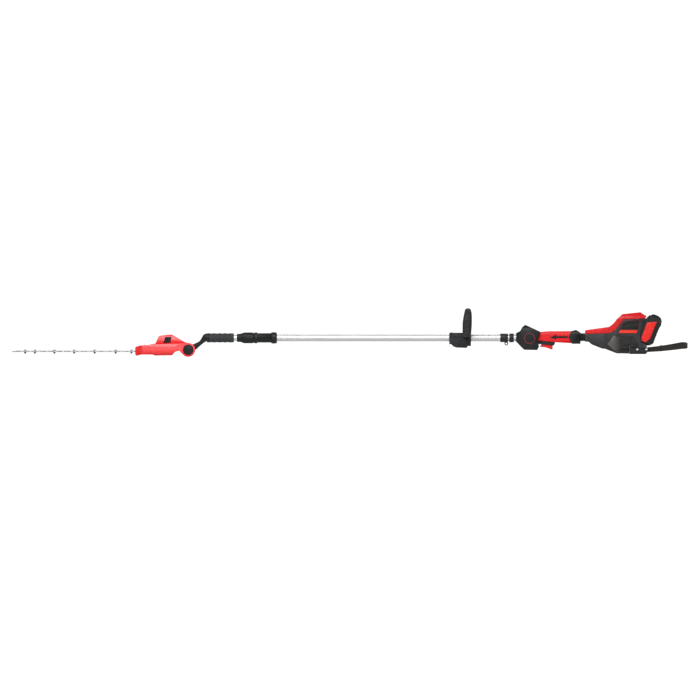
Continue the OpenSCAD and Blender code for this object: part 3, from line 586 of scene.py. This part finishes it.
def build_loop():
    """Loop with a soft ribbed grip, wide at its foot."""
    half, leg, bend = 0.013, 0.056, 0.040
    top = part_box("handle_loop")[1].z - half
    rear_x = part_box("handle_clamp")[1].x
    grip_from, foot_swell = 0.036, 0.0004
    groove_pitch, groove_depth, squareness, around = 0.0085, 0.0008, 0.84, 56
    # Height over the pole, and the front and rear edges from the clamp's rear face
    side_rows = smooth_rows([[0.012, -0.034, 0.001], [0.026, -0.0342, 0.0015], [0.040, -0.0342, 0.0028],
                             [0.060, -0.0338, 0.0036], [0.081, -0.031, 0.0038], [0.097, -0.0275, 0.003],
                             [0.106, -0.0255, 0.001]], 6)
    steps = loop_path(leg, top, bend)
    side = Vector((1, 0, 0))
    rings, run = [], 0.0
    for i, p in enumerate(steps):
        along = (steps[min(len(steps) - 1, i + 1)] - steps[max(0, i - 1)]).normalized()
        run += (p - steps[i - 1]).length if i else 0.0
        front, rear = between(side_rows, p.z)
        middle, length = (front + rear) / 2, (rear - front) / 2
        other = along.cross(side)
        groove = groove_depth * max(0.0, math.cos(2 * math.pi * run / groove_pitch)) ** 6
        ring = []
        for k in range(around):
            a = 2 * math.pi * k / around
            c, q = math.cos(a), math.sin(a)
            # Grooves run over the outer face of the grip only
            if p.z > grip_from:
                cut = groove if q < 0.25 else 0.0
            else:
                cut = -foot_swell
            ring.append(Vector((rear_x + middle, p.y, p.z))
                        + side * math.copysign(abs(c) ** squareness, c) * (length - 0.0002)
                        + other * math.copysign(abs(q) ** squareness, q) * (half - 0.0005 - cut))
        rings.append(ring)
    loop = finished("loop_grip", ring_mesh(rings), "loop_rubber", "front_handle", 50)
    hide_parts("handle_loop")


def clamp_bar(name, x0, x1, half, base, top, edge=0.003):
    """Bar across the tube from x0 to x1, from the height base up to top, with a round saddle below."""
    bore = tube_r + 0.00005
    a0 = math.asin(base / bore)
    turns = [a0 + (math.pi - 2 * a0) * i / 32 for i in range(33)]
    saddle = [(bore * math.cos(a), bore * math.sin(a)) for a in turns]
    outline = [(half, base), (half, top - edge), (half - edge, top), (-half + edge, top),
               (-half, top - edge), (-half, base)] + saddle[::-1]
    bm = bmesh.new()
    face = bm.faces.new([bm.verts.new((x0, y, z)) for y, z in outline])
    moved = bmesh.ops.extrude_face_region(bm, geom=[face])["geom"]
    ends = [g for g in moved if isinstance(g, bmesh.types.BMVert)]
    bmesh.ops.translate(bm, verts=ends, vec=(x1 - x0, 0, 0))
    rim = [e for e in sharp_edges(bm, 60) if max(abs(v.co.y) for v in e.verts) > bore + 0.0001]
    rounded(bm, rim, 0.0008, 2)
    finished(name, bm, "hard_black", "front_handle")


def build_clamp():
    """Upper clamp half on the lower one, and the yoke that carries the loop."""
    low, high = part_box("handle_clamp")
    yoke_length, yoke_half, yoke_base = 0.034, 0.066, 0.004
    clamp_bar("clamp_upper", low.x, high.x - 0.0001, -low.y, high.z, clamp_top)
    clamp_bar("loop_yoke", high.x - yoke_length, high.x, yoke_half, yoke_base, yoke_top)


build_loop()
build_clamp()


# ---------------------------------------------------------------- hand strap

STRAP_Z = -0.047


def strap_path(start, far, half_gap):
    """Middle of the webbing: back along the near side, round the end and forward along the far side."""
    near_rise, far_rise, steps, turns = 0.0125, 0.0205, 40, 24
    path = []
    for i in range(steps):
        t = i / steps
        sag = -0.0012 * math.sin(math.pi * t)
        bow = 0.0008 * math.sin(3 * math.pi * t) * (t > 0.4)
        path.append(Vector((start + (far - start) * t, bow - half_gap,
                            STRAP_Z + near_rise * t ** 1.1 + sag)))
    for i in range(turns + 1):
        t = i / turns
        a = math.pi * (t - 0.5)
        ease = 3 * t * t - 2 * t ** 3
        path.append(Vector((far + half_gap * math.cos(a), half_gap * math.sin(a),
                            STRAP_Z + near_rise + (far_rise - near_rise) * ease)))
    for i in range(1, steps + 1):
        t = 1 - i / steps
        path.append(Vector((start + (far - start) * t, half_gap,
                            STRAP_Z + far_rise * t ** 1.15 - 0.001 * math.sin(math.pi * t))))
    return path


def band_mesh(path, width, thick):
    """Flat band along a path, thinner at its edges, with a UV map in metres."""
    bm = bmesh.new()
    uv = bm.loops.layers.uv.new("UVMap")
    across = 9
    count = 2 * across
    rows, run = [], [0.0]
    for i, p in enumerate(path):
        along = (path[min(len(path) - 1, i + 1)] - path[max(0, i - 1)]).normalized()
        out = along.cross(Vector((0, 0, 1))).normalized()
        up = out.cross(along).normalized()
        if i:
            run.append(run[-1] + (p - path[i - 1]).length)
        row = []
        for side in (1, -1):
            for k in range(across):
                v = (k / (across - 1) - 0.5) * side
                edge = 1 - 0.35 * (abs(2 * v) ** 6)
                row.append(bm.verts.new(p + up * (v * width) + out * (side * thick / 2 * edge)))
        rows.append(row)
    for i in range(len(rows) - 1):
        for k in range(count):
            j = (k + 1) % count
            face = bm.faces.new((rows[i][k], rows[i][j], rows[i + 1][j], rows[i + 1][k]))
            for loop, (r, c) in zip(face.loops, ((i, k), (i, k + 1), (i + 1, k + 1), (i + 1, k))):
                loop[uv].uv = (run[r], c * width / across)
    bm.faces.new(rows[0])
    bm.faces.new(rows[-1])
    return bm


def build_strap():
    """Webbing loop whose two ends enter the foot and whose far end is lifted."""
    low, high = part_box("strap")
    width, thick = 0.0196, 0.0021
    half_gap = (high.y - low.y) / 2 - 0.00125
    path = strap_path(low.x + 0.0008, high.x - half_gap - 0.0022, half_gap)
    strap = finished("hand_strap", band_mesh(path, width, thick), "webbing", "pole", 60)
    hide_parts("strap")
    build_stitches(half_gap + thick / 2 + 0.0001)


def build_stitches(face_y):
    """Stitched boxes where the webbing is sewn back on itself behind the foot."""
    bm = bmesh.new()
    x0, x1 = rear_face + 0.003, rear_face + 0.017
    middle, half, rise, per_side = STRAP_Z + 0.0012, 0.0078, 0.001, 7
    for y in (-face_y, face_y):
        for i in range(per_side):
            t = i / (per_side - 1)
            for z in (-half, half):
                add_stitch(bm, Vector((x0 + (x1 - x0) * t, y, middle + z + rise * t)), (1, 0, 0))
            for x in (x0, x1):
                add_stitch(bm, Vector((x, y, middle - half + 2 * half * t)), (0, 0, 1))
    finished("strap_stitches", bm, "soft_grey", "pole")


def add_stitch(bm, centre, along):
    """A short thread lying on the webbing, along X or Z."""
    half, thread_r = 0.0012, 0.0003
    matrix = Matrix.Translation(centre) @ Matrix.Diagonal((*[half if a else thread_r for a in along], 1))
    bmesh.ops.create_icosphere(bm, subdivisions=1, radius=1.0, matrix=matrix)


build_strap()


# ---------------------------------------------------------------- small fasteners

def screws(name, node, places, radius):
    """Screws seated square on the far side of a shell, over places of X and Z."""
    skin = SKINS[node].data
    tree = BVHTree.FromPolygons([v.co for v in skin.vertices], [tuple(f.vertices) for f in skin.polygons])
    bm = bmesh.new()
    for x, z in places:
        seat, outward, _, _ = tree.ray_cast(Vector((x, 1, z)), Vector((0, -1, 0)))
        screw_head(bm, seat - outward * 0.0003, outward, radius)
    return finished(name, bm, "bolt_steel", BODY_OF[node])


def shell_screws():
    """Screws that close the clamshells, on the far side."""
    screws("head_screws", "head_far", [(hub.x - u, hub.z + w) for u, w in (
        (0.188, -0.004), (0.150, 0.008), (0.150, -0.012), (0.100, -0.012), (0.062, 0.008))], 0.0032)
    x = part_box("control_far")[0].x
    screws("control_screws", "control_far", [(x + 0.038, 0.030), (x + 0.080, 0.020), (x + 0.078, -0.030),
                                             (x + 0.038, -0.030)], 0.003)
    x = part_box("grip_far")[0].x
    screws("grip_screws", "grip_far", [(x + 0.012, 0.009), (x + 0.104, 0.012)], 0.0028)
    x = housing_x
    screws("housing_screws", "housing_far", [(x + 0.132, 0.026), (x + 0.168, -0.045), (x + 0.200, 0.012),
                                             (x + 0.200, -0.032)], 0.003)


def hub_ring():
    """Raised ring of the head round the release button."""
    base_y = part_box("release_button")[0].y + 0.0033
    inner_r, outer_r, rise = 0.0212, 0.0262, 0.0016
    ring = turned((hub.x, base_y, hub.z), (0, -1, 0),
                  [(0.0, inner_r), (0.0, outer_r), (0.0009, outer_r + 0.0004), (rise, outer_r - 0.0004),
                   (rise, inner_r + 0.0004), (0.0, inner_r)])
    finished("hub_ring", ring, "head_red", "head")


def clamp_bolts():
    """Blackened clamp bolts whose heads lie almost flush with the yoke."""
    top = yoke_top + 0.0005
    bm = clean_copy("handle_bolts")
    for v in bm.verts:
        v.co.z = min(v.co.z, top)
    bolts = finished("handle_bolts_low", bm, "hard_black", "front_handle")
    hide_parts("handle_bolts")


shell_screws()
hub_ring()
clamp_bolts()


# ---------------------------------------------------------------- panel lines and battery rib

def prism(outline, y0, y1, frame_of=None):
    """Outline of X and Z in metres drawn across from y0 to y1, or the rim between two such outlines."""
    bm = bmesh.new()
    rows = [[bm.verts.new((x, y, z)) for x, z in ring] for y in (y0, y1)
            for ring in ([outline] if frame_of is None else [outline, frame_of])]
    count = len(outline)
    if frame_of is None:
        pairs = [(0, 1)]
        bm.faces.new(rows[0])
        bm.faces.new(rows[1])
    else:
        pairs = [(0, 1), (1, 3), (3, 2), (2, 0)]
    for a, b in pairs:
        for i in range(count):
            j = (i + 1) % count
            bm.faces.new((rows[a][i], rows[a][j], rows[b][j], rows[b][i]))
    return bm


def inset(outline, distance):
    """Moves each side of a convex, anticlockwise outline of X and Z inwards."""
    lines = []
    for (x0, z0), (x1, z1) in zip(outline, outline[1:] + outline[:1]):
        inward = Vector((z0 - z1, x1 - x0)).normalized()
        lines.append((inward, inward.dot(Vector((x0, z0))) + distance))
    points = []
    for (n0, d0), (n1, d1) in zip([lines[-1]] + lines[:-1], lines):
        det = n0.x * n1.y - n0.y * n1.x
        points.append(((d0 * n1.y - d1 * n0.y) / det, (n0.x * d1 - n1.x * d0) / det))
    return points


def panel_trim():
    """Thin dark red line round each side panel of the rear housing."""
    panel = [(housing_x + x * MM, z * MM) for x, z in
             ((140, 31), (211, 31), (226, 74.5), (156, 71), (144, 55))]
    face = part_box("side_panels")[1].y
    for side, name in ((-1, "panel_line_near"), (1, "panel_line_far")):
        rim = prism(inset(panel, 0.0022), side * (face - 0.0004), side * (face + 0.00012),
                    inset(panel, 0.0031))
        finished(name, rim, "bolt_red", "pole")


def battery_key():
    """Rib of the battery that sits in the dock's groove and closes the joint."""
    slide = Vector(JOINTS["battery_slide"]["axis"])
    lean = math.atan2(slide.x, slide.z)
    dock = Vector((housing_x + 220 * MM, 0, 0.020))
    across = Vector((math.cos(lean), 0, -math.sin(lean)))
    outline = [dock + across * x * MM + slide * z * MM for x, z in
               ((-1.6, 58), (-1.6, -1.4), (15.6, -34.8), (48.4, -35.8), (59, -29.5), (48, -28), (18, -28),
                (5, -2), (5, 58))]
    finished("battery_key", prism([(p.x, p.z) for p in outline], -0.009, 0.009), "battery_black", "battery")


panel_trim()
battery_key()


# ---------------------------------------------------------------- stage

def add_floor():
    """Pale floor, which the camera sees paler than it lights the part."""
    floor_z, floor_half, camera_glow = -0.84, 9.0, 0.38
    bm = bmesh.new()
    bmesh.ops.create_grid(bm, x_segments=1, y_segments=1, size=floor_half)
    bmesh.ops.translate(bm, verts=bm.verts, vec=(0, 0, floor_z))
    mesh = bpy.data.meshes.new("floor")
    bm.to_mesh(mesh)
    bm.free()
    floor = bpy.data.objects.new("floor", mesh)
    scene.collection.objects.link(floor)
    s = Shader("floor", 0.9)
    s.colour(s.mixed(s.noise(3), (0.72, 0.72, 0.72), (0.76, 0.76, 0.76)))
    seen = s.nodes.new("ShaderNodeLightPath")
    glow = s.ranged(seen.outputs["Is Camera Ray"], 0.0, 1.0, 0.0, camera_glow)
    s.bsdf.inputs["Emission Color"].default_value = (1, 1, 1, 1)
    s.links.new(glow, s.bsdf.inputs["Emission Strength"])
    mesh.materials.append(s.mat)


def add_world():
    """White surroundings: dim from below, soft from above, and bright to the camera."""
    camera_strength = 1.1
    world = bpy.data.worlds.new("studio")
    scene.world = world
    world.use_nodes = True
    nodes, links = world.node_tree.nodes, world.node_tree.links
    background = nodes["Background"]
    background.inputs["Color"].default_value = (1, 1, 1, 1)
    seen = nodes.new("ShaderNodeLightPath")
    coords = nodes.new("ShaderNodeTexCoord")
    split = nodes.new("ShaderNodeSeparateXYZ")
    height = nodes.new("ShaderNodeMapRange")
    for key, number in zip(("From Min", "From Max", "To Min", "To Max"), (-0.6, 0.8, 0.03, 0.34)):
        height.inputs[key].default_value = number
    pick = nodes.new("ShaderNodeMix")
    links.new(coords.outputs["Generated"], split.inputs["Vector"])
    links.new(split.outputs["Z"], height.inputs["Value"])
    links.new(seen.outputs["Is Camera Ray"], pick.inputs["Factor"])
    links.new(height.outputs["Result"], pick.inputs["A"])
    pick.inputs["B"].default_value = camera_strength
    links.new(pick.outputs["Result"], background.inputs["Strength"])


def add_lamp(name, place, target, size, power):
    """Rectangular soft lamp, size wide and high, aimed at a target."""
    lamp = bpy.data.lights.new(name, "AREA")
    lamp.shape = "RECTANGLE"
    lamp.size, lamp.size_y = size
    lamp.energy = power
    obj = bpy.data.objects.new(name, lamp)
    scene.collection.objects.link(obj)
    obj.location = place
    obj.rotation_euler = (Vector(target) - Vector(place)).to_track_quat("-Z", "Y").to_euler()


def add_camera():
    """Flat side view, square on to the near side."""
    camera = bpy.data.cameras.new("camera")
    camera.type = "ORTHO"
    camera.ortho_scale = 2.8
    camera.clip_end = 50
    eye = bpy.data.objects.new("camera", camera)
    scene.collection.objects.link(eye)
    eye.location = (-0.052, -4.0, -0.0486)
    eye.rotation_euler = (math.pi / 2, 0, 0)
    scene.camera = eye


add_floor()
add_world()
add_lamp("key", (-0.6, -2.6, 2.6), (0, 0, 0), (3.6, 1.6), 95)
add_lamp("front", (0.5, -3.2, 1.5), (0, 0, -0.05), (3.6, 1.0), 34)
add_lamp("strip", (0.2, -3.4, -0.1), (0, 0, -0.02), (3.8, 0.3), 11)
add_lamp("back", (0.4, 2.6, 1.8), (0, 0, 0), (3.2, 1.4), 40)
add_camera()
scene.view_settings.view_transform = "Standard"
